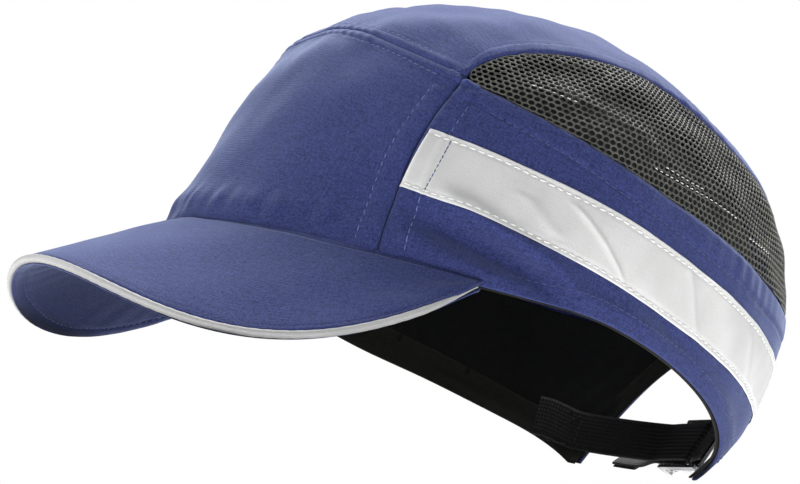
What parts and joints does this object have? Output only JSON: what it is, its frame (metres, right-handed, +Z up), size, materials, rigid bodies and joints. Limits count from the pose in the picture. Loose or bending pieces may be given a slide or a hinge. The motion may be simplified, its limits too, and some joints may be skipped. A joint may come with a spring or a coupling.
{
  "type": "bump cap",
  "caption": "Baseball-style bump cap: fabric cover with short peak, mesh vents, reflective side tape and rear strap over a padded hard shell.",
  "frame": {"origin": "on the surface the cap rests on, below the centre of the head opening", "axes": "+Z up through the top of the crown, -Y towards the peak, +X towards the wearer's left"},
  "size_m": [0.192, 0.2717, 0.1359],
  "materials": {
    "blue_fabric": "matte woven poly-cotton",
    "mesh": "open knitted air mesh",
    "reflective": "retro-reflective tape",
    "piping": "retro-reflective piping",
    "lining": "matte black polyester",
    "binding": "matte black tape",
    "webbing": "woven black webbing",
    "foam": "closed-cell foam faced with fabric",
    "hard_shell": "textured moulded plastic",
    "peak_board": "flexible board",
    "buckle_metal": "bright plated steel"
  },
  "bodies": {
    "insert": {"hard_shell": "hard_shell", "crown_pad": "foam", "front_pad": "foam", "rear_pad": "foam", "left_pad": "foam", "right_pad": "foam"},
    "cover": {"front_panel": "blue_fabric", "crown_panel": "blue_fabric", "left_side_panel": "blue_fabric", "right_side_panel": "blue_fabric", "left_mesh_panel": "mesh", "right_mesh_panel": "mesh", "left_reflective_tape": "reflective", "right_reflective_tape": "reflective", "front_stiffener": "lining", "sweatband": "lining", "left_lining": "lining", "right_lining": "lining", "left_seam_tape": "lining", "right_seam_tape": "lining", "front_seam_tape": "lining", "left_hem_binding": "binding", "right_hem_binding": "binding", "arch_binding": "binding", "peak_top_cover": "blue_fabric", "peak_board": "peak_board", "peak_under_cover": "blue_fabric", "peak_piping": "piping", "adjusting_strap": "webbing", "buckle_anchor": "webbing", "buckle_frame": "buckle_metal", "buckle_pin": "buckle_metal"},
    "lever": {"buckle_lever": "buckle_metal"}
  },
  "joints": [
    {"name": "cover_lift", "type": "slide", "parent": "insert", "child": "cover", "axis": [0, 0.1772, 0.9842], "range_m": [0, 0.025]},
    {"name": "buckle_flip", "type": "hinge", "parent": "cover", "child": "lever", "pos_m": [0.00441, 0.10133, 0.01084], "axis": [0.0846, 0.3978, 0.9135], "range_deg": [0, 100]}
  ]
}
